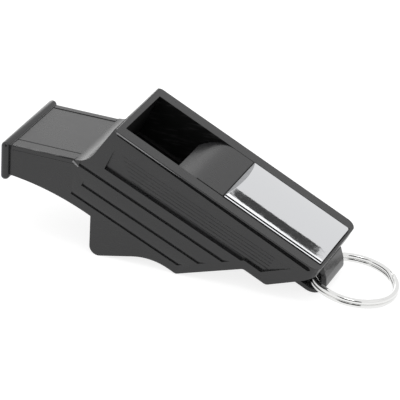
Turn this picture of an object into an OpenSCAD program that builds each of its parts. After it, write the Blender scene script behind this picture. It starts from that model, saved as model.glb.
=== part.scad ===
// Sports whistle with no pea: a moulded body with a flat mouthpiece, a sound window
// with a domed ramp behind it, a crowned metal plate and a split ring on a rear loop.
// Millimetres. X runs from the lip to the ring, Y is the width and Z is up. The origin
// is under the middle of the whole object, on the surface that it stands on.
// Places on the body are given along its sloping top and as a depth below it.

/* [Body] */
// Width over the side walls
body_width = 19.2; // [18.6:0.1:19.6]
// Width over the rim round the top
rim_width = 20; // [19.8:0.1:21]
// Length of the sloping top
rim_length = 43.5; // [43.5:0.1:46]
// Slope of the top, down from the mouthpiece to the ring
body_tilt = 25.1; // [22:0.1:27]
// Radius of the rim's front corners
rim_front_radius = 0.9; // [0.4:0.1:1.5]
// Radius of the rim's rear corners
rim_rear_radius = 1.9; // [1:0.1:2.2]
// Thickness of the side walls beside the window
side_wall = 2.1; // [1.8:0.05:2.2]
// Thickness of the wall in front of the window
front_wall = 1.3; // [1:0.1:1.6]
// Thickness of the rim behind the plate
rear_wall = 0.55; // [0.5:0.05:0.8]
// Thickness of the floor and the rear slope
floor_wall = 1.3; // [1:0.1:1.5]

/* [Underside] */
// Depth of the long floor below the top
fin_floor_depth = 17.9; // [17.4:0.1:18.4]
// Length of the long floor behind the fin's hollow
fin_floor_length = 5.2; // [4:0.1:6]
// Length of the slope between the two floors, along the body
under_slope_length = 9.7; // [9:0.1:11]
// Depth of the tail's floor below the top
tail_floor_depth = 8.7; // [8.4:0.1:9.2]
// Length of the tail's floor
tail_floor_length = 4.85; // [4:0.05:5.5]
// Length of the rear slope, along the body
rear_slope_length = 6.55; // [6:0.05:7]
// Height of the rear edge below the rim
rear_edge_depth = 2.05; // [1.8:0.05:2.4]
// Distance of the front fin's face behind the rim's front edge
fin_face_offset = 4.15; // [3.8:0.05:4.5]
// Radius of the fin's lower corner
fin_corner_radius = 1.7; // [1:0.1:2.2]
// Radius of the hollow behind the fin
fin_hollow_radius = 11; // [8:0.5:12]
// Radius of the other corners of the underside
underside_radius = 1; // [0.5:0.1:1.4]

/* [Side steps] */
// Depth of each step line below the top, at the front
step_depths = [8.3, 10.8, 14, 16.75]; // [7:0.05:17.5]
// Where each step line starts, along the body
step_starts = [1.9, -2.4, -0.2, -1.1]; // [-3:0.1:4]
// Height of the sloping face above each step line
step_heights = [4.4, 1.1, 1.2, 0.8]; // [0.6:0.1:5]
// Depth of each step into the wall
step_cuts = [0.65, 0.35, 0.3, 0.3]; // [0.25:0.05:0.9]
// Rise of the step lines against the top, in degrees
step_rise = 1.4; // [0.8:0.1:2]
// Distance of the steps from the sloping underside
step_margin = 1.6; // [1:0.05:2]
// Distance of the steps from the rear slope
step_rear_margin = 2.5; // [2:0.05:3]
// Number of fine ridges in the first step
ridge_count = 6; // [3:1:8]
// Radius of the groove under the rim, at the front
groove_front_radius = 0.43; // [0.41:0.01:0.5]
// Radius of the groove under the rim, at the rear
groove_rear_radius = 0.6; // [0.5:0.01:0.8]
// Thickness of the rim above the groove
rim_lip = 0.1; // [0.1:0.05:0.25]
// Distance of the groove's middle from the rim's side
groove_inset = 0.4; // [0.3:0.05:0.4]

/* [Mouthpiece] */
// Distance of the lip in front of the rim
mouth_reach = 21.8; // [20:0.1:23]
// Depth of the mouthpiece's top below the rim's front edge
mouth_top_drop = 7.85; // [7.6:0.05:8.2]
// Depth of the mouthpiece's root below the rim's front edge
mouth_root_drop = 18.25; // [17.8:0.05:18.6]
// Radius of the mouthpiece's hollow underside
mouth_under_radius = 50; // [48:1:56]
// Set back of the front wall's foot from the rim
front_foot_offset = 5.15; // [4.8:0.05:5.5]
// Radius between the mouthpiece's top and the front wall
front_fillet_radius = 4.4; // [3.5:0.1:5.3]
// Radius of the round bead on the lip
lip_bead_radius = 0.8; // [0.7:0.05:0.9]
// Height that the bead stands proud of the mouthpiece's top
lip_bead_proud = 0.5; // [0.3:0.05:0.6]
// Distance that the bead stands out at the sides
lip_bead_flare = 0.9; // [0.6:0.05:1]
// Height of the lip over the bead
lip_height = 7.4; // [7:0.05:7.5]
// Width of the air slot
windway_width = 12.8; // [11:0.1:13.4]
// Height of the air slot
windway_height = 1.25; // [1:0.05:1.5]

/* [Mouthpiece cover] */
// Thickness of the cover
cover_thickness = 0.9; // [0.8:0.05:1.1]
// Land between the lip's bead and the cover
cover_land = 0.15; // [0.1:0.05:0.3]
// Margin of the sunk panel in the cover's top
panel_margin = 1.4; // [1:0.1:2]
// Depth of the sunk panel
panel_depth = 0.1; // [0.05:0.05:0.3]

/* [Windway block] */
// Height of the block below the air slot
block_height = 2.6; // [2:0.1:2.7]

/* [Ramp insert] */
// Length of the flat land between the ramp and the plate
land_length = 3.9; // [3.5:0.1:5]
// Length of the ramp from its nose to the flat land
nose_length = 6.05; // [5.5:0.05:7]
// Slope of the ramp's nose against the flat land, in degrees
ramp_slope = 28; // [26:1:34]
// Radius between the ramp and the flat land
ramp_radius = 9; // [6:0.5:12]
// Radius of the nose's two corners, seen from above
nose_corner_radius = 3.5; // [3:0.1:5]
// Thickness of the insert's flat part
insert_thickness = 1.7; // [1.4:0.05:1.9]
// Thickness of the nose
nose_thickness = 0.35; // [0.3:0.05:0.6]
// Width of the ledge that carries the insert
seat_ledge = 0.9; // [0.6:0.05:1.2]
// Gap between glued or pressed pieces
fit_gap = 0.06; // [0.04:0.01:0.1]

/* [Name plate] */
// Length of the plate
plate_length = 20.75; // [20:0.05:21.5]
// Depth of the plate's seat below the top
plate_seat_depth = 0.6; // [0.4:0.05:0.8]
// Height of the plate's long edges above the top
plate_edge_height = 0.25; // [0.1:0.05:0.4]
// Rise of the plate's middle above its long edges
plate_crown = 0.65; // [0.4:0.05:0.9]
// Slope of the plate's front face, in degrees
plate_front_slope = 35; // [25:1:50]
// Radius of the plate's corner on the far side
plate_far_radius = 1.2; // [0.6:0.1:1.6]
// Radius of the plate's corner on the near side
plate_near_radius = 0.3; // [0.2:0.1:0.8]

/* [Lanyard loop] */
// Width of the loop's strap
loop_width = 9.2; // [8.6:0.1:9.6]
// Thickness of the strap at the bottom
loop_floor = 1.05; // [0.9:0.05:1.1]
// Thickness of the strap at the rear
loop_rear = 1.25; // [1.1:0.05:1.3]
// Thickness of the strap at the top
loop_top = 0.9; // [0.8:0.05:1]
// Reach of the loop behind the rim
loop_overhang = 2.25; // [2.2:0.05:2.6]
// Depth of the loop's bottom below the top
loop_depth = 8.08; // [7.9:0.02:8.5]
// Depth where the loop's rear face starts to lean in
loop_shoulder_depth = 5; // [4.8:0.1:5.2]
// Depth of the loop's upper corner
loop_neck_depth = 3.7; // [3.5:0.1:3.9]
// Set back of the loop's upper corner from its rear face
loop_neck_inset = 0.75; // [0.6:0.05:0.9]
// Radius of the loop's lower corner, which stands on the table
loop_corner_radius = 2.8; // [2:0.1:2.8]

/* [Split ring] */
// Outside diameter of the ring
ring_diameter = 16.2; // [15.8:0.1:16.4]
// Width of the ring's wire
ring_wire_width = 1; // [0.9:0.05:1.05]
// Thickness of the ring's wire
ring_wire_thickness = 0.5; // [0.4:0.01:0.55]
// Rise from one turn of the wire to the next
ring_pitch = 0.94; // [0.92:0.01:1]
// Room between the turning wire and the loop's floor
ring_floor_play = 0.08; // [0.06:0.01:0.12]
// Room between the turning wire and the loop's rear
ring_rear_play = 0.6; // [0.5:0.05:0.75]

/* [Hidden] */
$fn = 96;
// Length that each cut runs past the face it opens
overrun = 1;
// Length by which a corner's arc is larger than its radius, so that it crosses both sides
arc_slack = 0.002;
black = [0.05, 0.05, 0.055];
steel = [0.75, 0.76, 0.78];

tail_floor_end = rim_length - rear_slope_length;
tail_floor_start = tail_floor_end - tail_floor_length;
fin_floor_end = tail_floor_start - under_slope_length;
inner_width = body_width - 2 * side_wall;
cavity_width = inner_width - 2 * seat_ledge;
insert_width = inner_width - 2 * fit_gap;
plate_rear = rim_length - rear_wall;
plate_place = plate_rear - plate_length;
ramp_place = plate_place - land_length;
nose_place = ramp_place - nose_length;
ramp_corner = ramp_place - ramp_radius * tan(ramp_slope / 2);
rear_slope = (tail_floor_depth - rear_edge_depth) / rear_slope_length;
under_slope = (fin_floor_depth - tail_floor_depth) / under_slope_length;

lip_front = -mouth_reach;
cover_front = lip_front + 2 * lip_bead_radius + cover_land;
front_wall_angle = atan2(mouth_top_drop, front_foot_offset);
cover_rear = -front_foot_offset - front_fillet_radius * tan(front_wall_angle / 2);
windway_roof = -mouth_top_drop - cover_thickness;
windway_floor = windway_roof - windway_height;
block_base = windway_floor - block_height;
plate_crown_radius = arc_radius(insert_width / 2, plate_crown);

// The loop's rounded lower corner stands on the table, and so does the fin's
loop_reach = rim_length + loop_overhang;
rim_front_height = loop_corner_radius + (loop_reach - loop_corner_radius) * sin(body_tilt)
    + (loop_depth - loop_corner_radius) * cos(body_tilt);
hole_rear = loop_reach - loop_rear;
hole_floor = loop_depth - loop_floor;

ring_outer = ring_diameter / 2;
wire_circle = ring_outer - ring_wire_width / 2;
ring_half_height = (ring_pitch + ring_wire_thickness) / 2;
ring_pivot_reach = (wire_circle + sqrt(pow(wire_circle, 2) - pow(loop_width / 2, 2))) / 2;
wire_turn_radius = norm([wire_circle - ring_pivot_reach + ring_wire_width / 2, ring_half_height]);
pivot = on_side(hole_rear - wire_turn_radius - ring_rear_play,
    hole_floor - wire_turn_radius - ring_floor_play);
ring_reach_to_end = ring_pivot_reach + ring_outer;
ring_rest_tilt = asin((rim_front_height + pivot[1]) / norm([ring_reach_to_end, ring_half_height]))
    - atan2(ring_half_height, ring_reach_to_end);
ring_middle = pivot + ring_pivot_reach * [cos(ring_rest_tilt), -sin(ring_rest_tilt)];
ring_end_x = ring_middle[0] + ring_outer * cos(ring_rest_tilt);
rim_front_x = (mouth_reach - ring_end_x) / 2;

// Rings of points in each turn of the wire, and how many of them the whole wire has
steps_a_turn = 24;
climb_steps = 2;
wire_steps = 2 * steps_a_turn - climb_steps;
// Where the wire's lower end lies round the ring, in degrees from the far end
wire_start = 52;
// Corners of the wire's section, as shares of half its width and half its thickness
wire_section_shares = [[1, 0], [0.55, 1], [-0.55, 1], [-1, 0], [-0.55, -1], [0.55, -1]];

// Side view place of a point given along the sloping top and as a depth below it
function on_side(place, depth) = [
    place * cos(body_tilt) - depth * sin(body_tilt),
    -place * sin(body_tilt) - depth * cos(body_tilt)
];

function unit(v) = v / norm(v);

// Radius of the arc that rises or falls by a height over half its width
function arc_radius(half_width, height) = (half_width * half_width + height * height) / (2 * height);

// Place along the body of a slope of the underside, moved in by a wall, at a depth
function slope_place(start, start_depth, slope, wall, depth) =
    start + (start_depth - depth) / slope - wall * sqrt(1 + slope * slope) / slope;

function rear_slope_place(wall, depth) =
    slope_place(tail_floor_end, tail_floor_depth, rear_slope, wall, depth);

function under_slope_place(wall, depth) =
    slope_place(fin_floor_end, fin_floor_depth, under_slope, wall, depth);

// Places children given in side view places from the rim's front edge
module in_place() {
    translate([rim_front_x, 0, rim_front_height])
        children();
}

// Places children given along the sloping top
module along_body() {
    in_place()
        rotate([0, body_tilt, 0])
            children();
}

// Gives a side view outline a width, half of it on each side
module widened(width) {
    rotate([90, 0, 0])
        translate([0, 0, -width / 2])
            linear_extrude(width)
                children();
}

// Half of the angle between the two sides of a corner
function half_angle(before, corner, after) = acos(unit(before - corner) * unit(after - corner)) / 2;

// Piece between a corner and the arc that rounds it
module corner_piece(before, corner, after, radius) {
    u = unit(before - corner);
    v = unit(after - corner);
    half = half_angle(before, corner, after);
    reach = radius / tan(half);
    inward = unit(u + v);
    centre = corner + inward * radius / sin(half);
    difference() {
        polygon([corner - inward * overrun, corner + u * reach, centre, corner + v * reach]);
        translate(centre)
            circle(radius + arc_slack);
    }
}

// Outline through corners of the form [x, y, radius], anticlockwise, with each radius
// held to what its two sides have room for
module rounded_outline(corners) {
    count = len(corners);
    points = [for (c = corners) [c[0], c[1]]];
    before = [for (i = [0:count - 1]) points[(i + count - 1) % count]];
    after = [for (i = [0:count - 1]) points[(i + 1) % count]];
    turns = [for (i = [0:count - 1]) cross(points[i] - before[i], after[i] - points[i])];
    reaches = [for (i = [0:count - 1])
        corners[i][2] / tan(half_angle(before[i], points[i], after[i]))];
    rooms = [for (i = [0:count - 1])
        min(1, norm(after[i] - points[i]) / (reaches[i] + reaches[(i + 1) % count]))];
    radii = [for (i = [0:count - 1]) corners[i][2] * min(rooms[i], rooms[(i + count - 1) % count])];
    difference() {
        union() {
            polygon(points);
            for (i = [0:count - 1])
                if (corners[i][2] > 0 && turns[i] < 0)
                    corner_piece(before[i], points[i], after[i], radii[i]);
        }
        for (i = [0:count - 1])
            if (corners[i][2] > 0 && turns[i] > 0)
                corner_piece(before[i], points[i], after[i], radii[i]);
    }
}

function corner(point, radius) = [point[0], point[1], radius];

// Where the fin's rising lower edge meets the long floor
fin_hollow = on_side(fin_floor_end - fin_floor_length, fin_floor_depth);

// Lower corner of the fin, placed so that its rounding stands on the table
fin_centre = [fin_corner_radius - fin_face_offset, fin_corner_radius - rim_front_height];
fin_edge_rise = atan2(fin_hollow[1] - fin_centre[1], fin_hollow[0] - fin_centre[0])
    + asin(fin_corner_radius / norm(fin_hollow - fin_centre));
fin_corner = [-fin_face_offset,
    fin_hollow[1] - (fin_hollow[0] + fin_face_offset) * tan(fin_edge_rise)];

// Side outline of the wedge-shaped body, without the mouthpiece
module body_outline() {
    rounded_outline([
        corner([0, 0], 0),
        corner([-front_foot_offset, -mouth_top_drop], 0),
        corner([-fin_face_offset, -mouth_root_drop], 0),
        corner(fin_corner, fin_corner_radius),
        corner(fin_hollow, fin_hollow_radius),
        corner(on_side(fin_floor_end, fin_floor_depth), underside_radius),
        corner(on_side(tail_floor_start, tail_floor_depth), underside_radius),
        corner(on_side(tail_floor_end, tail_floor_depth), underside_radius),
        corner(on_side(rim_length, rear_edge_depth), 0),
        corner(on_side(rim_length, 0), 0)
    ]);
}

// Side outline of the mouthpiece, whose arched underside runs on into the body
module mouthpiece_outline() {
    under_centre = [-fin_face_offset, -mouth_root_drop]
        - mouth_under_radius * [sin(body_tilt), cos(body_tilt)];
    difference() {
        translate([lip_front + lip_bead_radius, -mouth_root_drop - overrun])
            square([mouth_reach - lip_bead_radius - fin_face_offset + front_wall,
                mouth_root_drop + overrun - mouth_top_drop]);
        translate(under_centre)
            circle(mouth_under_radius, $fn = 360);
    }
}

module side_outline() {
    body_outline();
    mouthpiece_outline();
    corner_piece([lip_front, -mouth_top_drop], [-front_foot_offset, -mouth_top_drop], [0, 0],
        front_fillet_radius);
}

// Plan of the rim, given along the sloping top
module rim_plan(width) {
    rounded_outline([
        [0, -width / 2, rim_front_radius],
        [rim_length, -width / 2, rim_rear_radius],
        [rim_length, width / 2, rim_rear_radius],
        [0, width / 2, rim_front_radius]
    ]);
}

// Round bead along the four edges of the lip, on a solid core
module lip_bead() {
    half_width = body_width / 2 + lip_bead_flare - lip_bead_radius;
    top = -mouth_top_drop + lip_bead_proud - lip_bead_radius;
    base = top - lip_height + 2 * lip_bead_radius;
    bead_x = lip_front + lip_bead_radius;
    translate([lip_front + lip_bead_radius / 2, -half_width, base])
        cube([lip_bead_radius, 2 * half_width, top - base]);
    for (z = [base, top]) {
        translate([bead_x, 0, z])
            rotate([90, 0, 0])
                cylinder(h = 2 * half_width, r = lip_bead_radius, center = true);
    }
    for (y = [-half_width, half_width]) {
        translate([bead_x, y, base])
            cylinder(h = top - base, r = lip_bead_radius);
        for (z = [base, top])
            translate([bead_x, y, z])
                sphere(lip_bead_radius);
    }
}

// One step line on the near side: a face that slopes in, over a ledge
module sloping_step(start, height, depth) {
    rotate([90, 0, 90])
        translate([0, 0, start])
            linear_extrude(rim_length - start)
                polygon([[-body_width / 2 - overrun, 0], [-body_width / 2 + depth, 0],
                    [-body_width / 2 - overrun, height * (1 + overrun / depth)]]);
}

// The first step, whose sloping face is a stair of fine ridges
module ridged_step(start, height, depth) {
    for (ridge = [1:ridge_count])
        translate([start, -body_width / 2 - overrun, 0])
            cube([rim_length - start, overrun + depth * ridge / ridge_count,
                height * (ridge_count + 1 - ridge) / ridge_count]);
}

// Side outline that the steps stay in, given along the sloping top
module step_limits() {
    tail_depth = tail_floor_depth - step_margin;
    polygon([
        [-rim_length, -fin_floor_depth],
        [under_slope_place(step_margin, fin_floor_depth), -fin_floor_depth],
        [under_slope_place(step_margin, tail_depth), -tail_depth],
        [rear_slope_place(step_rear_margin, tail_depth), -tail_depth],
        [rear_slope_place(step_rear_margin, 0), 0],
        [-rim_length, 0]
    ]);
}

// All steps of the near side, kept off the underside
module near_side_steps() {
    intersection() {
        for (i = [0:len(step_depths) - 1])
            translate([0, 0, -step_depths[i]])
                rotate([0, -step_rise, 0])
                    if (i == 0)
                        ridged_step(step_starts[i], step_heights[i], step_cuts[i]);
                    else
                        sloping_step(step_starts[i], step_heights[i], step_cuts[i]);
        widened(body_width + 2 * overrun)
            step_limits();
    }
}

// Side view places of the groove's middle at its two ends
groove_front = [rim_front_radius, -rim_lip - groove_front_radius];
groove_rear = [rim_length - rim_rear_radius, -rim_lip - groove_rear_radius];

// Widening groove under the near side of the rim, with a round end
module near_side_groove() {
    run = norm(groove_rear - groove_front);
    fall = atan2(groove_front[1] - groove_rear[1], groove_rear[0] - groove_front[0]);
    translate([groove_front[0], -rim_width / 2 + groove_inset, groove_front[1]])
        rotate([0, 90 + fall, 0])
            rotate_extrude()
                intersection() {
                    union() {
                        polygon([[0, 0], [groove_front_radius, 0], [groove_rear_radius, run], [0, run]]);
                        translate([0, run])
                            circle(groove_rear_radius);
                    }
                    square([groove_rear_radius, run + groove_rear_radius]);
                }
}

// Hollow of the body: the window, the seat of the insert and the chamber below
module body_hollow() {
    chamber_depth = fin_floor_depth - floor_wall;
    tail_depth = tail_floor_depth - floor_wall;
    widened(inner_width) {
        translate([front_wall, -insert_thickness])
            square([plate_rear - front_wall, insert_thickness + overrun]);
        translate([front_wall, -tail_floor_depth])
            square([ramp_place - front_wall, tail_floor_depth]);
    }
    widened(cavity_width)
        polygon([
            [front_wall, 0],
            [front_wall, -(tail_floor_depth + fin_floor_depth) / 2],
            [front_wall + tail_floor_depth / 2, -chamber_depth],
            [under_slope_place(floor_wall, chamber_depth), -chamber_depth],
            [under_slope_place(floor_wall, tail_depth), -tail_depth],
            [rear_slope_place(floor_wall, tail_depth), -tail_depth],
            [rear_slope_place(floor_wall, insert_thickness), -insert_thickness],
            [rear_slope_place(floor_wall, insert_thickness), 0]
        ]);
}

// Width of the body and, along its top, of the wider rim
module width_limits() {
    translate([-rim_length, -body_width / 2, -rim_length])
        cube([rim_length + front_wall, body_width, 2 * rim_length]);
    translate([0, 0, -rim_length])
        linear_extrude(2 * rim_length)
            rim_plan(body_width);
    intersection() {
        translate([0, 0, -tail_floor_depth])
            linear_extrude(tail_floor_depth + overrun)
                rim_plan(rim_width);
        widened(rim_width + 2 * overrun)
            polygon([
                [-overrun, groove_front[1]],
                groove_front,
                [rim_length + overrun, groove_rear[1]],
                [rim_length + overrun, overrun],
                [-overrun, overrun]
            ]);
    }
}

// Pocket under the cover and the air slot through to the chamber
module windway_cuts() {
    translate([cover_front, -body_width / 2 - overrun, windway_roof])
        cube([cover_rear - cover_front, body_width + 2 * overrun, cover_thickness + overrun]);
    translate([cover_front, -windway_width / 2, block_base])
        cube([cover_rear - cover_front, windway_width, windway_roof + overrun / 2 - block_base]);
    translate([lip_front - overrun, -windway_width / 2, windway_floor])
        cube([mouth_reach + overrun, windway_width, windway_height]);
}

module body_shell() {
    color(black)
        difference() {
            union() {
                intersection() {
                    in_place()
                        widened(rim_width + 2 * overrun)
                            side_outline();
                    along_body()
                        width_limits();
                }
                in_place()
                    lip_bead();
            }
            along_body()
                body_hollow();
            along_body()
                for (side = [0, 1])
                    mirror([0, side, 0]) {
                        near_side_steps();
                        near_side_groove();
                    }
            in_place()
                windway_cuts();
        }
}

module mouthpiece_cover() {
    length = cover_rear - cover_front - 2 * fit_gap;
    color(black)
        in_place()
            translate([cover_front + fit_gap, -body_width / 2, windway_roof])
                difference() {
                    cube([length, body_width, cover_thickness]);
                    translate([-overrun, panel_margin, cover_thickness - panel_depth])
                        cube([length + 2 * overrun, body_width - 2 * panel_margin,
                            panel_depth + overrun]);
                }
}

module windway_block() {
    color(black)
        in_place()
            translate([cover_front + fit_gap, -windway_width / 2 + fit_gap, block_base])
                cube([cover_rear - cover_front - 2 * fit_gap, windway_width - 2 * fit_gap,
                    block_height]);
}

// Side outline of the insert: the ramp, the flat land and the seat of the plate
module insert_outline() {
    tip = nose_place - overrun;
    tip_depth = (ramp_corner - tip) * tan(ramp_slope);
    difference() {
        rounded_outline([
            [tip, -tip_depth - nose_thickness, 0],
            [ramp_place, -insert_thickness, 0],
            [plate_rear - fit_gap, -insert_thickness, 0],
            [plate_rear - fit_gap, 0, 0],
            [ramp_corner, 0, ramp_radius],
            [tip, -tip_depth, 0]
        ]);
        translate([plate_place, -plate_seat_depth])
            square([rim_length, plate_seat_depth + overrun]);
    }
}

// Plan of the insert, with the rounded corners of its nose
module insert_plan() {
    rounded_outline([
        [nose_place, -insert_width / 2, nose_corner_radius],
        [rim_length, -insert_width / 2, 0],
        [rim_length, insert_width / 2, 0],
        [nose_place, insert_width / 2, nose_corner_radius]
    ]);
}

module ramp_insert() {
    color(black)
        along_body()
            intersection() {
                widened(rim_width)
                    insert_outline();
                translate([0, 0, -nose_length])
                    linear_extrude(nose_length + overrun)
                        insert_plan();
            }
}

// Plan of the plate, with its rounded rear corners
module plate_plan() {
    rounded_outline([
        [plate_place + fit_gap, -insert_width / 2, 0],
        [plate_rear - fit_gap, -insert_width / 2, plate_near_radius],
        [plate_rear - fit_gap, insert_width / 2, plate_far_radius],
        [plate_place + fit_gap, insert_width / 2, 0]
    ]);
}

module name_plate() {
    front_rise = (rim_length - plate_place) * tan(plate_front_slope);
    color(steel)
        along_body()
            intersection() {
                translate([0, 0, -plate_seat_depth])
                    linear_extrude(plate_seat_depth + plate_edge_height + plate_crown + overrun)
                        plate_plan();
                translate([0, 0, plate_edge_height + plate_crown - plate_crown_radius])
                    rotate([0, 90, 0])
                        cylinder(h = rim_length + overrun, r = plate_crown_radius, $fn = 360);
                widened(rim_width)
                    polygon([
                        [plate_place, -insert_thickness],
                        [rim_length, -insert_thickness],
                        [rim_length, plate_edge_height + front_rise],
                        [plate_place + fit_gap, plate_edge_height]
                    ]);
            }
}

// Side outline of the loop's strap, given along the sloping top
module loop_outline() {
    neck = loop_reach - loop_neck_inset;
    hole_top = rear_edge_depth + loop_top;
    difference() {
        rounded_outline([
            [rear_slope_place(0, loop_depth), -loop_depth, 0],
            [loop_reach, -loop_depth, loop_corner_radius],
            [loop_reach, -loop_shoulder_depth, underside_radius],
            [neck, -loop_neck_depth, underside_radius],
            [rim_length, -rear_edge_depth, 0]
        ]);
        rounded_outline([
            [rear_slope_place(0, hole_floor) - overrun, -hole_floor, 0],
            [hole_rear, -hole_floor, underside_radius],
            [hole_rear, -loop_shoulder_depth, underside_radius],
            [neck - loop_rear, -loop_neck_depth, 0],
            [rear_slope_place(0, hole_top), -hole_top, 0],
            [rear_slope_place(0, hole_top) - overrun, -hole_top, 0]
        ]);
    }
}

module lanyard_loop() {
    color(black)
        along_body()
            widened(loop_width)
                loop_outline();
}

// Height of the wire's middle at a step: a flat turn, a climb and a second flat turn
function wire_height(step) =
    ring_pitch * (min(max((step - steps_a_turn + climb_steps) / climb_steps, 0), 1) - 0.5);

// Corners of the wire's section at a step round the ring
function wire_section(step) =
    let (angle = wire_start + 360 * step / steps_a_turn)
    [for (share = wire_section_shares)
        let (radius = wire_circle + share[0] * ring_wire_width / 2)
        [radius * cos(angle), radius * sin(angle),
            wire_height(step) + share[1] * ring_wire_thickness / 2]];

wire_sides = len(wire_section_shares);
wire_points = [for (step = [0:wire_steps]) each wire_section(step)];
wire_side_faces = [for (step = [0:wire_steps - 1], side = [0:wire_sides - 1])
    let (
        a = step * wire_sides + side,
        b = step * wire_sides + (side + 1) % wire_sides,
        c = a + wire_sides,
        d = b + wire_sides
    )
    each [[a, c, b], [b, c, d]]];
wire_end_faces = [for (i = [1:wire_sides - 2])
    each [[0, i, i + 1],
        [wire_steps * wire_sides, wire_steps * wire_sides + i + 1, wire_steps * wire_sides + i]]];

// Least distance between points of the wire that lie half a turn or more apart on it
ring_least_gap = min([for (lower = [0:wire_steps], upper = [lower + steps_a_turn / 2:1:wire_steps])
    min([for (p = wire_section(lower), q = wire_section(upper)) norm(p - q)])]);
echo(ring_least_gap = ring_least_gap);

// Two flat turns of one wire, joined by a short climb
module split_ring() {
    color(steel)
        in_place()
            translate([ring_middle[0], 0, ring_middle[1]])
                rotate([0, ring_rest_tilt, 0])
                    polyhedron(wire_points, concat(wire_side_faces, wire_end_faces));
}

body_shell();
mouthpiece_cover();
windway_block();
ramp_insert();
name_plate();
lanyard_loop();
split_ring();
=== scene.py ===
"""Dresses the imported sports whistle: moulded black body, bright plate and split ring.

Every length in a dataclass field is in millimetres, in the frame that the CAD uses,
and turns into metres when a mesh is built. Every angle in one is in degrees.
"""

import logging
import math
from dataclasses import dataclass, field
from enum import Enum
from typing import Callable, Iterable

import bmesh
import bpy
from mathutils import Matrix, Vector


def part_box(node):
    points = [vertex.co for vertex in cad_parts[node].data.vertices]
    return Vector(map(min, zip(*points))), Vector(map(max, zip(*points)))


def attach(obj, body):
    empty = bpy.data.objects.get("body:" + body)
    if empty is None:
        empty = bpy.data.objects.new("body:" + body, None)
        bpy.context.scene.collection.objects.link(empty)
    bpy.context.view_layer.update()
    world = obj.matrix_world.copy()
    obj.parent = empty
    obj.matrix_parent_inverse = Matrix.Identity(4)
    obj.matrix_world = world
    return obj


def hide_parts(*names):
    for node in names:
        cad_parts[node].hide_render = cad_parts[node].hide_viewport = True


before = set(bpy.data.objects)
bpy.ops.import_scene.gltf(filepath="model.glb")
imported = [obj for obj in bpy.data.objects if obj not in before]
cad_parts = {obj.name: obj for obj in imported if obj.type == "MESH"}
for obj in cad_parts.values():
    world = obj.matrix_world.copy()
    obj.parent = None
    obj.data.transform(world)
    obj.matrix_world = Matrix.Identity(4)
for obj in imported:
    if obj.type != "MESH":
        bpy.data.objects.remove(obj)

log = logging.getLogger("whistle")

MM = 0.001
# Gaps in millimetres within which vertices merge, a cut snaps, and a place lies on a face
MERGE_GAP = 0.002
CUT_GAP = 0.001
TOUCH_GAP = 0.02
# A turn in degrees, then the angles between faces that join flat and that stay sharp
FULL_TURN = 360.0
FLAT_ANGLE = math.radians(0.6)
SHARP_ANGLE = math.radians(24.0)
BAR_SIDES = 8
BAR_END_SHARE = 0.6
BAR_END_SEGMENTS = 2


class Slot(Enum):
    """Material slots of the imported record."""

    BODY = "body_plastic"
    PLATE = "plate_chrome"
    RING = "ring_steel"


class Carrier(Enum):
    """Bodies that pieces ride on."""

    WHISTLE = "whistle"
    RING = "ring"


def srgb(code: str) -> tuple[float, float, float, float]:
    """Turn an sRGB hex colour into the linear colour that a shader reads.

    Args:
        code: Six hex digits, with or without a leading #.

    Returns:
        Linear red, green, blue and an alpha of one.
    """
    digits = code.lstrip("#")
    shares = [int(digits[i : i + 2], 16) / 255 for i in (0, 2, 4)]
    linear = [s / 12.92 if s <= 0.04045 else ((s + 0.055) / 1.055) ** 2.4 for s in shares]
    return (linear[0], linear[1], linear[2], 1.0)


def add_node(
    tree: bpy.types.NodeTree,
    kind: str,
    inputs: dict[str | int, object] | None = None,
    **settings: object,
) -> bpy.types.Node:
    """Add a node with its settings, values and links.

    Args:
        tree: Node tree that the node goes into.
        kind: Blender's name of the node type.
        inputs: Input names or numbers, each with a value or the socket that feeds it.
        **settings: Properties of the node itself.

    Returns:
        The new node.
    """
    node = tree.nodes.new(kind)
    for name, value in settings.items():
        setattr(node, name, value)
    for name, value in (inputs or {}).items():
        if isinstance(value, bpy.types.NodeSocket):
            tree.links.new(value, node.inputs[name])
        else:
            node.inputs[name].default_value = value
    return node


def new_material(name: str) -> bpy.types.Material:
    """Make a material whose node tree is empty.

    Args:
        name: Name of the material.

    Returns:
        The new material.
    """
    material = bpy.data.materials.new(name)
    material.use_nodes = True
    material.node_tree.nodes.clear()
    return material


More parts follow.
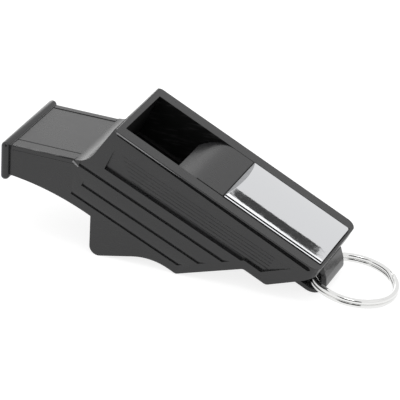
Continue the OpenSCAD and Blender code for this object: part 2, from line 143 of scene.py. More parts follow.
@dataclass(frozen=True)
class MouldedAbs:
    """Black ABS, injection moulded in a fine satin tool.

    The eye gets a deep black that shines at a low angle, and a grain too fine to see
    as dots. Handling has rubbed it a little smoother in soft patches.
    """

    name: str = "moulded_abs"
    colour: str = "#222223"
    rubbed_colour: str = "#29292A"
    ior: float = 1.53
    roughness: float = 0.27
    roughness_swing: float = 0.05
    scuff_roughness: float = 0.06
    grain: float = 0.32
    grain_depth: float = 0.0009
    patch: float = 7.0
    patch_levels: tuple[float, float] = (0.3, 0.7)
    scuff_length: float = 3.0
    scuff_stretch: float = 9.0
    scuff_tilt: float = 25.0
    scuff_levels: tuple[float, float] = (0.56, 0.74)

    def build(self) -> bpy.types.Material:
        """Make the material.

        Returns:
            The plastic with its grain, patches and faint handling marks.
        """
        material = new_material(self.name)
        tree = material.node_tree
        place = add_node(tree, "ShaderNodeTexCoord").outputs["Object"]
        patches = add_node(
            tree,
            "ShaderNodeTexNoise",
            {"Vector": place, "Scale": 1 / (self.patch * MM), "Detail": 3.0},
        )
        drawn = add_node(
            tree,
            "ShaderNodeMapping",
            {
                "Vector": place,
                "Scale": (1.0, self.scuff_stretch, self.scuff_stretch),
                "Rotation": (0.0, math.radians(self.scuff_tilt), 0.0),
            },
        )
        marks = add_node(
            tree,
            "ShaderNodeTexNoise",
            {"Vector": drawn.outputs[0], "Scale": 1 / (self.scuff_length * MM), "Detail": 5.0},
        )
        scuffs = add_node(
            tree,
            "ShaderNodeMapRange",
            {
                "Value": marks.outputs["Fac"],
                "From Min": self.scuff_levels[0],
                "From Max": self.scuff_levels[1],
            },
        )
        rough = add_node(
            tree,
            "ShaderNodeMapRange",
            {
                "Value": patches.outputs["Fac"],
                "From Min": self.patch_levels[0],
                "From Max": self.patch_levels[1],
                "To Min": self.roughness - self.roughness_swing,
                "To Max": self.roughness + self.roughness_swing,
            },
        )
        worn = add_node(
            tree,
            "ShaderNodeMath",
            {0: scuffs.outputs[0], 1: self.scuff_roughness, 2: rough.outputs[0]},
            operation="MULTIPLY_ADD",
        )
        # Sockets 6 and 7 of a colour mix are its two colours
        tint = add_node(
            tree,
            "ShaderNodeMix",
            {0: scuffs.outputs[0], 6: srgb(self.colour), 7: srgb(self.rubbed_colour)},
            data_type="RGBA",
        )
        grain = add_node(
            tree,
            "ShaderNodeTexNoise",
            {"Vector": place, "Scale": 1 / (self.grain * MM), "Detail": 2.0},
        )
        bump = add_node(
            tree,
            "ShaderNodeBump",
            {"Height": grain.outputs["Fac"], "Strength": 1.0, "Distance": self.grain_depth * MM},
        )
        shader = add_node(
            tree,
            "ShaderNodeBsdfPrincipled",
            {
                "Base Color": tint.outputs[2],
                "Roughness": worn.outputs[0],
                "IOR": self.ior,
                "Normal": bump.outputs[0],
            },
        )
        add_node(tree, "ShaderNodeOutputMaterial", {"Surface": shader.outputs[0]})
        return material


@dataclass(frozen=True)
class BareMetal:
    """Bright metal: polished steel foil, its sheared edge, or nickel plated wire.

    The eye gets a mirror whose reflections wander, because thin foil is never quite
    flat, with hair scratches that soften it.
    """

    name: str
    colour: str
    roughness: float = 0.06
    scratched: float = 0.12
    wave: float = 2.4
    wave_depth: float = 0.004
    hair: float = 5.0
    hair_stretch: float = 14.0
    hair_depth: float = 0.0004
    hair_levels: tuple[float, float] = (0.45, 0.75)

    def build(self) -> bpy.types.Material:
        """Make the material.

        Returns:
            The metal with its waves and hair scratches.
        """
        material = new_material(self.name)
        tree = material.node_tree
        place = add_node(tree, "ShaderNodeTexCoord").outputs["Object"]
        waves = add_node(
            tree,
            "ShaderNodeTexNoise",
            {"Vector": place, "Scale": 1 / (self.wave * MM), "Detail": 2.0},
        )
        drawn = add_node(
            tree,
            "ShaderNodeMapping",
            {"Vector": place, "Scale": (1.0, self.hair_stretch, self.hair_stretch)},
        )
        hairs = add_node(
            tree,
            "ShaderNodeTexNoise",
            {"Vector": drawn.outputs[0], "Scale": 1 / (self.hair * MM), "Detail": 6.0},
        )
        rough = add_node(
            tree,
            "ShaderNodeMapRange",
            {
                "Value": hairs.outputs["Fac"],
                "From Min": self.hair_levels[0],
                "From Max": self.hair_levels[1],
                "To Min": self.roughness,
                "To Max": self.roughness + self.scratched,
            },
        )
        soft = add_node(
            tree,
            "ShaderNodeBump",
            {"Height": waves.outputs["Fac"], "Strength": 1.0, "Distance": self.wave_depth * MM},
        )
        bump = add_node(
            tree,
            "ShaderNodeBump",
            {
                "Height": hairs.outputs["Fac"],
                "Strength": 1.0,
                "Distance": self.hair_depth * MM,
                "Normal": soft.outputs[0],
            },
        )
        shader = add_node(
            tree,
            "ShaderNodeBsdfPrincipled",
            {
                "Base Color": srgb(self.colour),
                "Metallic": 1.0,
                "Roughness": rough.outputs[0],
                "Normal": bump.outputs[0],
            },
        )
        add_node(tree, "ShaderNodeOutputMaterial", {"Surface": shader.outputs[0]})
        return material


@dataclass(frozen=True)
class PaperSweep:
    """White matt paper under the whistle.

    The eye gets a plain white ground with only a breath of shadow on it.
    """

    colour: str = "#959595"
    glow: float = 0.82

    def build(self) -> bpy.types.Material:
        """Make the material.

        Returns:
            A matt white that also looks white to the camera and in reflections.
        """
        material = new_material("paper_sweep")
        tree = material.node_tree
        path = add_node(tree, "ShaderNodeLightPath").outputs
        seen = add_node(
            tree,
            "ShaderNodeMath",
            {0: path["Is Camera Ray"], 1: path["Is Glossy Ray"]},
            operation="MAXIMUM",
        )
        shown = add_node(
            tree,
            "ShaderNodeMath",
            {0: seen.outputs[0], 1: path["Is Transmission Ray"]},
            operation="MAXIMUM",
        )
        strength = add_node(
            tree,
            "ShaderNodeMath",
            {0: shown.outputs[0], 1: self.glow},
            operation="MULTIPLY",
        )
        matt = add_node(tree, "ShaderNodeBsdfDiffuse", {"Color": srgb(self.colour)})
        light = add_node(tree, "ShaderNodeEmission", {"Strength": strength.outputs[0]})
        both = add_node(tree, "ShaderNodeAddShader", {0: matt.outputs[0], 1: light.outputs[0]})
        add_node(tree, "ShaderNodeOutputMaterial", {"Surface": both.outputs[0]})
        return material


@dataclass(frozen=True)
class FlagCloth:
    """Cloth of a studio flag: dense black, or a grey scrim.

    The eye sees it only as the dark bands in polished metal.
    """

    name: str = "flag_cloth"
    colour: str = "#161616"

    def build(self) -> bpy.types.Material:
        """Make the material.

        Returns:
            A plain matt cloth.
        """
        material = new_material(self.name)
        tree = material.node_tree
        cloth = add_node(tree, "ShaderNodeBsdfDiffuse", {"Color": srgb(self.colour)})
        add_node(tree, "ShaderNodeOutputMaterial", {"Surface": cloth.outputs[0]})
        return material


def merged_copy(node: str) -> bmesh.types.BMesh:
    """Copy a CAD node's mesh, merge its triangles and join the flat ones.

    Args:
        node: Name of the CAD node.

    Returns:
        A closed bmesh whose flat faces are whole.
    """
    bm = bmesh.new()
    bm.from_mesh(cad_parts[node].data)
    bmesh.ops.remove_doubles(bm, verts=bm.verts[:], dist=MERGE_GAP * MM)
    bmesh.ops.dissolve_limit(
        bm,
        angle_limit=FLAT_ANGLE,
        verts=bm.verts[:],
        edges=bm.edges[:],
        use_dissolve_boundaries=False,
        delimit=set(),
    )
    return bm


def shade(bm: bmesh.types.BMesh) -> None:
    """Smooth every face and keep the edges that turn sharply.

    Args:
        bm: Mesh to shade, with up-to-date normals.
    """
    for face in bm.faces:
        face.smooth = True
    for edge in bm.edges:
        edge.smooth = edge.is_manifold and edge.calc_face_angle(0.0) < SHARP_ANGLE


def weigh_edges(bm: bmesh.types.BMesh, radius_of: Callable[[bmesh.types.BMEdge], float]) -> float:
    """Write how far each sharp edge is rounded, as a weight for the bevel.

    Args:
        bm: Mesh to prepare.
        radius_of: Gives an edge's rounding in millimetres.

    Returns:
        The widest rounding in millimetres, which the weights are shares of.
    """
    layer = bm.edges.layers.float.new("bevel_weight_edge")
    radii = {
        edge: radius_of(edge)
        for edge in bm.edges
        if edge.is_manifold and edge.is_convex and edge.calc_face_angle(0.0) > SHARP_ANGLE
    }
    widest = max(radii.values())
    for edge, radius in radii.items():
        edge[layer] = radius / widest
    return widest


def add_bar(
    bm: bmesh.types.BMesh,
    start: Vector,
    end: Vector,
    radii: tuple[float, float],
) -> None:
    """Add a round bar that tapers between two points, with rounded ends.

    Args:
        bm: Mesh that the bar goes into.
        start: Middle of its first end, in millimetres.
        end: Middle of its last end, in millimetres.
        radii: Its radius at the two ends, in millimetres.
    """
    run = end - start
    turn = run.to_track_quat("Z", "Y").to_matrix().to_4x4()
    made = bmesh.ops.create_cone(
        bm,
        cap_ends=True,
        cap_tris=False,
        segments=BAR_SIDES,
        radius1=radii[0] * MM,
        radius2=radii[1] * MM,
        depth=run.length * MM,
        matrix=Matrix.Translation((start + end) / 2 * MM) @ turn,
    )
    touched = {face for vert in made["verts"] for face in vert.link_faces}
    caps = {face for face in touched if len(face.verts) == BAR_SIDES}
    bmesh.ops.bevel(
        bm,
        geom=list({edge for face in caps for edge in face.edges}),
        offset=min(radii) * BAR_END_SHARE * MM,
        segments=BAR_END_SEGMENTS,
        profile=0.5,
        affect="EDGES",
        material=-1,
    )


def to_piece(
    bm: bmesh.types.BMesh,
    name: str,
    finishes: list[bpy.types.Material],
    carrier: Carrier,
    node: str | None = None,
) -> bpy.types.Object:
    """Turn a bmesh into a piece of the whistle that rides on its body.

    Args:
        bm: Mesh in metres, in the frame's place. It is freed.
        name: Name of the piece.
        finishes: Its materials, which its faces name by number.
        carrier: Body that it rides on.
        node: CAD node that it stands for, if any.

    Returns:
        The linked object.
    """
    mesh = bpy.data.meshes.new(name)
    bm.to_mesh(mesh)
    bm.free()
    for finish in finishes:
        mesh.materials.append(finish)
    piece = bpy.data.objects.new(name, mesh)
    bpy.context.scene.collection.objects.link(piece)
    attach(piece, carrier.value)
    if node:
        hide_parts(node)
    log.info("%s: %d faces on %s", name, len(mesh.polygons), carrier.value)
    return piece


def add_rounding(piece: bpy.types.Object, width: float, segments: int) -> None:
    """Round a piece's weighted edges.

    Args:
        piece: Object whose mesh has bevel weights.
        width: Rounding of a weight of one, in millimetres.
        segments: Faces across each rounding.
    """
    bevel = piece.modifiers.new("rounding", "BEVEL")
    bevel.limit_method = "WEIGHT"
    bevel.width = width * MM
    bevel.segments = segments
    bevel.profile = 0.5
    bevel.material = -1
    bevel.use_clamp_overlap = False
    bevel.harden_normals = True
    bevel.miter_outer = "MITER_ARC"


def dress_alike(
    node: str,
    name: str,
    finish: bpy.types.Material,
    width: float,
    segments: int,
) -> None:
    """Dress a moulded solid whose sharp edges are all rounded alike.

    Args:
        node: CAD node that the piece stands for.
        name: Name of the piece.
        finish: Its material.
        width: Rounding in millimetres.
        segments: Faces across each rounding.
    """
    bm = merged_copy(node)
    widest = weigh_edges(bm, lambda edge: width)
    shade(bm)
    piece = to_piece(bm, name, [finish], Carrier.WHISTLE, node)
    add_rounding(piece, widest, segments)


@dataclass
class Slope:
    """Place, side and depth on the sloping top, counted from the rim's front edge."""

    tilt: float = 25.1
    mouth_reach: float = 21.8
    front: Vector = field(init=False)

    def __post_init__(self) -> None:
        """Find the middle of the rim's front edge, in millimetres."""
        low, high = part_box("body_shell")
        self.front = Vector((low.x / MM + self.mouth_reach, 0.0, high.z / MM))

    def along(self) -> Vector:
        """Return the direction down the sloping top, towards the rear."""
        turn = math.radians(self.tilt)
        return Vector((math.cos(turn), 0.0, -math.sin(turn)))

    def inward(self) -> Vector:
        """Return the direction square into the sloping top."""
        turn = math.radians(self.tilt)
        return Vector((-math.sin(turn), 0.0, -math.cos(turn)))

    def point(self, place: float, side: float, depth: float) -> Vector:
        """Turn a place along the top into a point in millimetres.

        Args:
            place: Distance behind the rim's front edge.
            side: Distance to the far side.
            depth: Depth below the top.

        Returns:
            The point in the frame.
        """
        across = Vector((0.0, side, 0.0))
        return self.front + self.along() * place + across + self.inward() * depth

    def measure(self, point: Vector) -> tuple[float, float, float]:
        """Return a point's place, side and depth, all in millimetres."""
        off = point - self.front
        return (off.dot(self.along()), off.y, off.dot(self.inward()))


@dataclass
class BodyShell:
    """The moulded body: mouthpiece, rim, stepped sides and fin.

    The border, lip, chamber and floor values tell its edges and faces apart.
    """

    slope: Slope = field(default_factory=Slope)
    rim_side: float = 10.0
    window_side: float = 7.5
    rim_round: float = 0.07
    front_round: float = 0.35
    window_round: float = 0.06
    segments: int = 3
    border: float = 0.3
    lip_place: float = -14.0
    lip_depth: float = 9.0
    chamber_end: float = 40.0
    chamber_depth: float = 0.2
    chamber_slack: float = 0.05
    floor_depth: float = 17.0
    floor_rise: float = 0.2

    def edge_round(self, edge: bmesh.types.BMEdge) -> float:
        """Choose how far an edge of the body is rounded.

        Args:
            edge: A sharp convex edge.

        Returns:
            The rounding in millimetres.
        """
        middle = (edge.verts[0].co + edge.verts[1].co) / (2 * MM)
        place, side, depth = self.slope.measure(middle)
        on_lip = place < self.lip_place and depth > self.lip_depth
        if on_lip or abs(side) > self.rim_side + TOUCH_GAP:
            return self.window_round
        if depth >= TOUCH_GAP:
            return 0.0
        if abs(place) < TOUCH_GAP:
            return self.front_round
        outer = abs(side) > self.window_side + self.border or place < self.border
        return self.rim_round if outer else self.window_round

    def is_inside(self, face: bmesh.types.BMFace) -> bool:
        """Tell a face of the window and chamber from an outer one.

        Args:
            face: Any face of the body.

        Returns:
            Whether the face is one that the core left.
        """
        place, side, depth = self.slope.measure(face.calc_center_median() / MM)
        floor = self.floor_depth - self.floor_rise * place
        return (
            self.border < place < self.chamber_end
            and abs(side) < self.window_side + self.chamber_slack
            and self.chamber_depth < depth < floor
        )

    def build(self, finishes: list[bpy.types.Material]) -> None:
        """Build the shell.

        Args:
            finishes: The moulded plastic, and a near-black copy that paints the shade inside the
                window and chamber.
        """
        bm = merged_copy("body_shell")
        widest = weigh_edges(bm, self.edge_round)
        shade(bm)
        # Faces inside the window and chamber take the near-black finish, painted shade
        for face in bm.faces:
            face.material_index = int(self.is_inside(face))
        piece = to_piece(bm, "moulded_shell", finishes, Carrier.WHISTLE, "body_shell")
        add_rounding(piece, widest, self.segments)


@dataclass
class SideTrim:
    """Fine raised lines on the sides: rim bead, panel ribs, and the cover's seam and weld."""

    slope: Slope = field(default_factory=Slope)
    rim_side: float = 9.92
    rim_bead: tuple[float, float] = (0.65, 14.6)
    rim_bead_depth: float = 0.28
    rim_bead_radii: tuple[float, float] = (0.18, 0.08)
    body_side: float = 9.6
    panel_depth: float = 8.3
    panel_height: float = 4.4
    panel_cut: float = 0.65
    panel_rise: float = 1.4
    stairs: int = 6
    rib_radii: tuple[float, float] = (0.044, 0.055)
    rib_reach: tuple[float, float] = (2.6, 35.856)
    rib_stagger: tuple[float, float] = (0.75, -0.026)
    seam_round: float = 0.09
    seam_drop: float = 8.75
    seam_reach: tuple[float, float] = (-34.2, -22.3)
    weld: tuple[float, float, float, float] = (-3.7, 10.75, -2.3, 11.05)
    weld_radii: tuple[float, float] = (0.2, 0.12)

    def add_rim_bead(self, bm: bmesh.types.BMesh, side: float) -> None:
        """Add the bead that runs along the front part of the rim's edge.

        Args:
            bm: Mesh that the bead goes into.
            side: Minus one on the near side, one on the far side.
        """
        first, last = self.rim_bead
        across = side * self.rim_side
        start = self.slope.point(first, across, self.rim_bead_depth)
        end = self.slope.point(last, across, self.rim_bead_depth)
        add_bar(bm, start, end, self.rim_bead_radii)

    def add_ribs(self, bm: bmesh.types.BMesh, side: float) -> None:
        """Add a rib on the lip of each stair of the sunk side panel.

        Args:
            bm: Mesh that the ribs go into.
            side: Minus one on the near side, one on the far side.
        """
        rise = math.tan(math.radians(self.panel_rise))
        for stair in range(1, self.stairs + 1):
            height = self.panel_height * (self.stairs + 1 - stair) / self.stairs
            across = self.body_side - self.panel_cut * (stair - 1) / self.stairs
            ends = []
            for reach, stagger in zip(self.rib_reach, self.rib_stagger):
                place = reach + stagger * stair
                depth = self.panel_depth - height - place * rise
                ends.append(self.slope.point(place, side * across, depth))
            add_bar(bm, ends[0], ends[1], self.rib_radii)

    def add_seam(self, bm: bmesh.types.BMesh, side: float) -> None:
        """Add the seam below the glued cover.

        Args:
            bm: Mesh that the seam goes into.
            side: Minus one on the near side, one on the far side.
        """
        height = self.slope.front.z - self.seam_drop
        across = side * self.body_side
        start, end = (Vector((x, across, height)) for x in self.seam_reach)
        add_bar(bm, start, end, (self.seam_round, self.seam_round))

    def add_weld(self, bm: bmesh.types.BMesh, side: float) -> None:
        """Add the weld at the end of the cover's seam; its pale colour is a painted highlight.

        Args:
            bm: Mesh that the weld goes into.
            side: Minus one on the near side, one on the far side.
        """
        across = side * self.body_side
        first, upper, last, lower = self.weld
        start = self.slope.point(first, across, upper)
        end = self.slope.point(last, across, lower)
        add_bar(bm, start, end, self.weld_radii)

    def build(self, finishes: list[bpy.types.Material]) -> None:
        """Build the lines of both sides.

        Args:
            finishes: The moulded plastic, and a pale copy of it that paints a highlight on bead
                and weld.
        """
        bm = bmesh.new()
        for side in (-1.0, 1.0):
            self.add_ribs(bm, side)
            self.add_seam(bm, side)
        plain = set(bm.faces)
        for side in (-1.0, 1.0):
            self.add_rim_bead(bm, side)
            self.add_weld(bm, side)
        # Bead and weld take the pale finish, a painted highlight
        for face in bm.faces:
            face.material_index = int(face not in plain)
        shade(bm)
        to_piece(bm, "tool_lines", finishes, Carrier.WHISTLE)


@dataclass
class GapShadeLines:
    """Near-black bars round the plate and beside the insert below it, painted shade of the gaps
    there.
    """

    slope: Slope = field(default_factory=Slope)
    plate: tuple[float, float] = (22.12, 42.98)
    insert_front: float = 16.5
    side: float = 7.5
    corner: float = 1.1
    depth: float = -0.03
    radius: float = 0.11
    thin: float = 0.06

    def build(self, finish: bpy.types.Material) -> None:
        """Build the lines.

        Args:
            finish: The near-black material of the painted shade.
        """
        bm = bmesh.new()
        front, rear = self.plate
        runs = [
            ((front, -self.side), (front, self.side), self.radius),
            ((rear, -self.side), (rear, self.side - self.corner), self.radius),
            ((self.insert_front, -self.side), (front, -self.side), self.thin),
            ((front, -self.side), (rear, -self.side), self.radius),
            ((front, self.side), (rear - self.corner, self.side), self.thin),
        ]
        for start, end, radius in runs:
            ends = [self.slope.point(*spot, self.depth) for spot in (start, end)]
            add_bar(bm, ends[0], ends[1], (radius, radius))
        shade(bm)
        to_piece(bm, "gap_shade_lines", [finish], Carrier.WHISTLE)


@dataclass
class Mouthpiece:
    """The glued cover on the mouthpiece and the block under the air slot."""

    cover_round: float = 0.42
    panel_round: float = 0.05
    block_round: float = 0.1
    groove_side: float = -6.7
    groove_width: float = 0.34
    groove_depth: float = 0.12
    groove_slack: float = 0.01
    panel_layer: float = 0.3
    segments: int = 4

    def cover_edge(self, edge: bmesh.types.BMEdge) -> float:
        """Round the cover's outer edges more than those of its panel.

        Args:
            edge: A sharp convex edge.

        Returns:
            The rounding in millimetres.
        """
        low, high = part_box("mouthpiece_cover")
        middle = (edge.verts[0].co + edge.verts[1].co) / 2
        on_side = min(middle.y - low.y, high.y - middle.y) < TOUCH_GAP * MM
        on_top = high.z - middle.z < TOUCH_GAP * MM
        if on_side and on_top:
            return self.cover_round
        return self.panel_round if on_top else 0.0

    def cut_groove(self, bm: bmesh.types.BMesh) -> None:
        """Press a V line into the panel, along its near border.

        Args:
            bm: Mesh of the cover.
        """
        middle = self.groove_side * MM
        half = self.groove_width / 2 * MM
        for place in (middle - half, middle, middle + half):
            bmesh.ops.bisect_plane(
                bm,
                geom=bm.verts[:] + bm.edges[:] + bm.faces[:],
                dist=CUT_GAP * MM,
                plane_co=(0, place, 0),
                plane_no=(0, 1, 0),
            )
        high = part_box("mouthpiece_cover")[1]
        for vert in bm.verts:
            on_line = abs(vert.co.y - middle) < self.groove_slack * MM
            if on_line and high.z - vert.co.z < self.panel_layer * MM:
                vert.co.z -= self.groove_depth * MM
        bm.normal_update()

    def build(self, finish: bpy.types.Material) -> None:
        """Build the cover and the block.

        Args:
            finish: The moulded plastic.
        """
        cover = merged_copy("mouthpiece_cover")
        widest = weigh_edges(cover, self.cover_edge)
        self.cut_groove(cover)
        shade(cover)
        piece = to_piece(
            cover, "glued_cover", [finish], Carrier.WHISTLE, "mouthpiece_cover"
        )
        add_rounding(piece, widest, self.segments)
        dress_alike("windway_block", "slot_block", finish, self.block_round, self.segments)


@dataclass
class RampInsert:
    """The ramp that splits the air, on the insert below the plate."""

    nose_round: float = 0.09
    segments: int = 3

    def build(self, finish: bpy.types.Material) -> None:
        """Build the insert.

        Args:
            finish: The moulded plastic.
        """
        dress_alike("ramp_insert", "ramp", finish, self.nose_round, self.segments)


@dataclass
class NamePlate:
    """The bare bright plate, crowned across its width, with a sheared front edge."""

    slope: Slope = field(default_factory=Slope)
    edge_round: float = 0.06
    segments: int = 4
    hem_side: float = 7.1
    hem_flank: float = 0.14
    hem_drop: float = 0.2
    seat_depth: float = 0.1
    sheared_back: float = 0.3
    sheared_up: float = 0.5

    def edge_width(self, edge: bmesh.types.BMEdge) -> float:
        """Round the upper edges and leave the seated ones."""
        middle = (edge.verts[0].co + edge.verts[1].co) / (2 * MM)
        return 0.0 if self.slope.measure(middle)[2] > self.seat_depth else self.edge_round

    def is_sheared(self, face: bmesh.types.BMFace) -> bool:
        """Tell the sloping face at the plate's front from the others.

        Args:
            face: Any face of the plate.

        Returns:
            Whether the face leans forward and still looks up.
        """
        back = face.normal.dot(self.slope.along())
        down = face.normal.dot(self.slope.inward())
        return back < -self.sheared_back and down < -self.sheared_up

    def build(self, foil: bpy.types.Material, sheared: bpy.types.Material) -> None:
        """Build the plate.

        Args:
            foil: The polished metal.
            sheared: The duller metal of the front edge.
        """
        bm = merged_copy("name_plate")
        widest = weigh_edges(bm, self.edge_width)
        self.fold_hems(bm)
        shade(bm)
        for face in bm.faces:
            face.material_index = int(self.is_sheared(face))
        piece = to_piece(
            bm, "bright_plate", [foil, sheared], Carrier.WHISTLE, "name_plate"
        )
        add_rounding(piece, widest, self.segments)

    def fold_hems(self, bm: bmesh.types.BMesh) -> None:
        """Step the plate down to a narrow hem along each long edge.

        Args:
            bm: Mesh of the plate.
        """
        for place in (self.hem_side, self.hem_side - self.hem_flank):
            for side in (-place, place):
                bmesh.ops.bisect_plane(
                    bm,
                    geom=bm.verts[:] + bm.edges[:] + bm.faces[:],
                    dist=CUT_GAP * MM,
                    plane_co=(0, side * MM, 0),
                    plane_no=(0, 1, 0),
                )
        for vert in bm.verts:
            side, depth = self.slope.measure(vert.co / MM)[1:]
            if abs(side) > self.hem_side - self.hem_flank / 2 and depth < 0:
                vert.co += self.slope.inward() * self.hem_drop * MM
        bm.normal_update()


@dataclass
class LanyardLoop:
    """The strap that carries the split ring."""

    edge_round: float = 0.25
    segments: int = 3

    def build(self, finish: bpy.types.Material) -> None:
        """Build the loop.

        Args:
            finish: The moulded plastic.
        """
        dress_alike("lanyard_loop", "strap_loop", finish, self.edge_round, self.segments)


@dataclass
class SplitRing:
    """Two sprung turns of rounded flat wire that touch all round, with tapered ends."""

    outside: float = 16.2
    wire_width: float = 1.0
    wire_thickness: float = 0.76
    pitch: float = 0.74
    middle: tuple[float, float, float] = (28.3196, 0.0, 1.86285)
    tilt: float = 8.16321
    crossing: float = 46.0
    climb: float = 24.0
    turns: int = 2
    step: float = 3.0
    corner_share: float = 0.42
    corner_segments: int = 6
    end_taper: float = 12.0
    end_width: float = 0.45

    def rise(self, turned: float) -> float:
        """Find how high the middle of the wire lies.

        Args:
            turned: Angle that the wire has turned since its start, in degrees.

        Returns:
            The height above the middle of the ring, in millimetres.
        """
        start = FULL_TURN - self.climb / 2
        share = min(max((turned - start) / self.climb, 0.0), 1.0)
        return self.pitch * (share * share * (3 - 2 * share) - 0.5)

    def section(self) -> bmesh.types.BMesh:
        """Start the mesh with one rounded section of the wire.

        Returns:
            A bmesh in millimetres that holds the section, upright at the ring's radius.
        """
        bm = bmesh.new()
        bmesh.ops.create_grid(bm, x_segments=1, y_segments=1, size=0.5)
        bmesh.ops.scale(bm, vec=(self.wire_width, self.wire_thickness, 1), verts=bm.verts[:])
        bmesh.ops.bevel(
            bm,
            geom=bm.verts[:],
            offset=self.wire_thickness * self.corner_share,
            segments=self.corner_segments,
            profile=0.5,
            affect="VERTICES",
            material=-1,
        )
        upright = Matrix.Rotation(math.pi / 2, 3, "X")
        bmesh.ops.rotate(bm, cent=(0, 0, 0), matrix=upright, verts=bm.verts[:])
        centre = (self.outside - self.wire_width) / 2
        bmesh.ops.translate(bm, vec=(centre, 0, 0), verts=bm.verts[:])
        return bm

    def build(self, finish: bpy.types.Material) -> None:
        """Build the ring.

        Args:
            finish: The nickel plated wire.
        """
        bm = self.section()
        total = FULL_TURN * self.turns
        steps = round(total / self.step)
        bmesh.ops.spin(
            bm,
            geom=bm.faces[:],
            cent=(0, 0, 0),
            axis=(0, 0, 1),
            dvec=(0, 0, 0),
            angle=math.radians(total),
            steps=steps,
            use_merge=False,
            use_normal_flip=False,
            use_duplicate=False,
        )
        self.lift_turns(bm, steps)
        turn = Matrix.Rotation(math.radians(self.tilt), 4, "Y") @ Matrix.Rotation(
            math.radians(self.crossing), 4, "Z"
        )
        place = Matrix.Translation(Vector(self.middle) * MM) @ turn @ Matrix.Scale(MM, 4)
        bmesh.ops.transform(bm, matrix=place, verts=bm.verts[:])
        bmesh.ops.recalc_face_normals(bm, faces=bm.faces[:])
        shade(bm)
        to_piece(bm, "ring_wire", [finish], Carrier.RING, "split_ring")

    def lift_turns(self, bm: bmesh.types.BMesh, steps: int) -> None:
        """Raise each section to its turn and thin the two ends where they meet the crossing.

        Args:
            bm: Mesh whose vertices lie section by section along the wire, but for four
                of the first section and four of the second, which are swapped.
            steps: Sections after the first.
        """
        count = len(bm.verts) // (steps + 1)
        total = FULL_TURN * self.turns
        inner = self.outside / 2 - self.wire_width
        for i, vert in enumerate(bm.verts):
            turned = (i // count) * self.step
            vert.co.z += self.rise(turned)
            if turned < self.climb:
                roof = self.rise(turned + FULL_TURN) - self.wire_thickness / 2
                vert.co.z = min(vert.co.z, roof)
            if turned > total - self.climb:
                floor = self.rise(turned - FULL_TURN) + self.wire_thickness / 2
                vert.co.z = max(vert.co.z, floor)
            near_end = min(turned, total - turned) / self.end_taper
            if near_end < 1.0:
                share = self.end_width + (1.0 - self.end_width) * near_end
                hold = inner if turned < FULL_TURN else self.outside / 2
                flat = math.hypot(vert.co.x, vert.co.y)
                scale = (hold + (flat - hold) * share) / flat
                vert.co.x *= scale
                vert.co.y *= scale


@dataclass(frozen=True)
class Card:
    """A flat flag or soft box in the studio that faces the whistle.

    The direction runs from the whistle to the card, and the width lies along across.
    """

    name: str
    direction: tuple[float, float, float]
    distance: float
    width: float
    height: float
    across: tuple[float, float, float]

    def matrix(self, aim: Vector) -> Matrix:
        """Work out how the card stands, with its own -Z towards the aim point.

        Args:
            aim: Point that it faces, in millimetres.

        Returns:
            Its place and turn, in metres.
        """
        back = Vector(self.direction).normalized()
        across = Vector(self.across)
        across = (across - back * across.dot(back)).normalized()
        turn = Matrix((across, back.cross(across), back)).transposed().to_4x4()
        return Matrix.Translation((aim + back * self.distance) * MM) @ turn

    def hang_flag(self, aim: Vector, cloth: bpy.types.Material) -> None:
        """Hang a cloth that only reflections show.

        Args:
            aim: Point that it faces, in millimetres.
            cloth: Its material.
        """
        bm = bmesh.new()
        bmesh.ops.create_grid(bm, x_segments=1, y_segments=1, size=0.5)
        sides = (self.width * MM, self.height * MM, 1)
        bmesh.ops.scale(bm, vec=sides, verts=bm.verts[:])
        bmesh.ops.transform(bm, matrix=self.matrix(aim), verts=bm.verts[:])
        mesh = bpy.data.meshes.new(self.name)
        bm.to_mesh(mesh)
        bm.free()
        mesh.materials.append(cloth)
        flag = bpy.data.objects.new(self.name, mesh)
        flag.visible_camera = False
        flag.visible_shadow = False
        flag.visible_diffuse = False
        bpy.context.scene.collection.objects.link(flag)

    def hang_light(self, aim: Vector, brightness: float) -> None:
        """Hang a soft box of an even brightness.

        Args:
            aim: Point that it faces, in millimetres.
            brightness: How much brighter than the white tent it looks.
        """
        data = bpy.data.lights.new(self.name, "AREA")
        data.shape = "RECTANGLE"
        data.size = self.width * MM
        data.size_y = self.height * MM
        data.energy = brightness * math.pi * data.size * data.size_y
        light = bpy.data.objects.new(self.name, data)
        bpy.context.scene.collection.objects.link(light)
        light.matrix_world = self.matrix(aim)


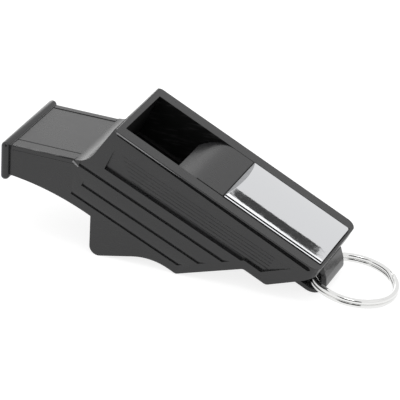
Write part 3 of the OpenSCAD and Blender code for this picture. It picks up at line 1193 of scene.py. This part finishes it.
@dataclass
class Studio:
    """Paper ground, white surroundings, soft boxes, flags and the camera.

    The camera's place counts from the middle of the rim's front edge, and right, down
    and forward are the directions of its picture. An aim is a place, side and depth.
    """

    lens: float = 252.0
    sensor: float = 36.0
    camera_from_front: tuple[float, float, float] = (173.045, -415.225, 213.291)
    right: tuple[float, float, float] = (0.92254659, 0.38276272, 0.04899484)
    down: tuple[float, float, float] = (0.21553882, -0.4058086, -0.88817926)
    forward: tuple[float, float, float] = (-0.32007938, 0.82994704, -0.45687756)
    clip_start: float = 10.0
    paper_reach: float = 3000.0
    sky_colour: str = "#FFFFFF"
    sky: float = 1.0
    mouth_aim: tuple[float, float, float] = (-9.0, 0.0, 6.0)
    plate_aim: tuple[float, float, float] = (32.5, -5.6, -0.6)
    low_box: Card = Card("low_box", (-0.5, 0.84, 0.16), 600, 380, 200, (0.86, 0.5, 0.0))
    rear_box: Card = Card("rear_box", (-0.33, 0.83, 0.45), 600, 260, 200, (0.93, 0.37, 0.0))
    strip_box: Card = Card("strip_box", (0.27, 0.605, 0.748), 405, 90, 36, (0.906, 0.0, -0.424))
    top_box: Card = Card("top_box", (0.22, -0.28, 0.93), 600, 160, 110, (0.906, 0.0, -0.424))
    strip_flag: Card = Card(
        "strip_flag", (0.2446, 0.683, 0.688), 400, 33, 46, (0.906, 0.0, -0.424)
    )
    camera_flag: Card = Card("camera_flag", (0.32, -0.83, 0.457), 540, 520, 700, (0.93, 0.36, 0))
    low_brightness: float = 1.1
    rear_brightness: float = 0.27
    strip_brightness: float = 0.55
    top_brightness: float = 6.0

    def set_camera(self, slope: Slope) -> None:
        """Place the camera where the photograph was taken from.

        Args:
            slope: Gives the middle of the rim's front edge.
        """
        data = bpy.data.cameras.new("photo_view")
        data.sensor_width = self.sensor
        data.lens = self.lens
        data.clip_start = self.clip_start * MM
        camera = bpy.data.objects.new("photo_view", data)
        bpy.context.scene.collection.objects.link(camera)
        columns = Matrix((self.right, -Vector(self.down), -Vector(self.forward))).transposed()
        where = (slope.front + Vector(self.camera_from_front)) * MM
        camera.matrix_world = Matrix.Translation(where) @ columns.to_4x4()
        bpy.context.scene.camera = camera

    def set_ground(self) -> None:
        """Lay the paper."""
        bm = bmesh.new()
        bmesh.ops.create_grid(bm, x_segments=1, y_segments=1, size=self.paper_reach * MM)
        mesh = bpy.data.meshes.new("paper")
        bm.to_mesh(mesh)
        bm.free()
        mesh.materials.append(PaperSweep().build())
        paper = bpy.data.objects.new("paper", mesh)
        bpy.context.scene.collection.objects.link(paper)

    def set_sky(self) -> None:
        """Surround the scene with plain white."""
        world = bpy.data.worlds.new("white_tent")
        world.use_nodes = True
        tree = world.node_tree
        tree.nodes.clear()
        sky = add_node(
            tree,
            "ShaderNodeBackground",
            {"Color": srgb(self.sky_colour), "Strength": self.sky},
        )
        add_node(tree, "ShaderNodeOutputWorld", {"Surface": sky.outputs[0]})
        bpy.context.scene.world = world

    def build(self, slope: Slope) -> None:
        """Set the whole studio.

        Args:
            slope: Gives the places that the lights and flags face.
        """
        self.set_camera(slope)
        self.set_ground()
        self.set_sky()
        mouth = slope.point(*self.mouth_aim)
        plate = slope.point(*self.plate_aim)
        cloth = FlagCloth().build()
        scrim = FlagCloth("grey_scrim", "#707070").build()
        self.low_box.hang_light(mouth, self.low_brightness)
        self.rear_box.hang_light(mouth, self.rear_brightness)
        self.strip_box.hang_light(plate, self.strip_brightness)
        self.top_box.hang_light(plate, self.top_brightness)
        self.strip_flag.hang_flag(plate, scrim)
        self.camera_flag.hang_flag(plate, cloth)
        bpy.context.scene.view_settings.view_transform = "Standard"


def main() -> None:
    """Build every piece."""
    logging.basicConfig(level=logging.INFO, format="%(name)s %(message)s")
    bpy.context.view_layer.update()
    plastic = MouldedAbs().build()
    # A smoother tool gives the loop a slightly paler shine
    loop_plastic = MouldedAbs("loop_abs", colour="#262627", roughness=0.2).build()
    # Near-black plastic on the faces inside the window and chamber is painted shade
    cavity_shade = MouldedAbs("cavity_shade_abs", colour="#080808", ior=1.35, roughness=0.6).build()
    # Pale plastic on the rim bead and weld paints a highlight along those thin edges
    worn = MouldedAbs("painted_highlight_abs", colour="#8C8C8D", rubbed_colour="#A4A4A5").build()
    # Near-black matt bars round the plate are painted shade of the gaps
    gap_shade = MouldedAbs("gap_shade_black", colour="#0A0A0A", ior=1.3, roughness=0.6).build()
    # Polished steel foil gives sharp reflections that waver a little
    foil = BareMetal("polished_foil", "#D5D6D8", roughness=0.03, scratched=0.05).build()
    # The sheared edge of the foil gives a dull grey strip
    sheared = BareMetal("sheared_steel", "#77787A", roughness=0.3).build()
    # Nickel plating on drawn wire gives a plain white shine
    nickel = BareMetal(
        "nickel_wire", "#E4E4E3", roughness=0.08, scratched=0.05, wave_depth=0.001
    ).build()
    slope = Slope()
    BodyShell(slope).build([plastic, cavity_shade])
    SideTrim(slope).build([plastic, worn])
    GapShadeLines(slope).build(gap_shade)
    Mouthpiece().build(plastic)
    RampInsert().build(plastic)
    NamePlate(slope).build(foil, sheared)
    LanyardLoop().build(loop_plastic)
    SplitRing().build(nickel)
    Studio().build(slope)


if __name__ == "__main__":
    main()
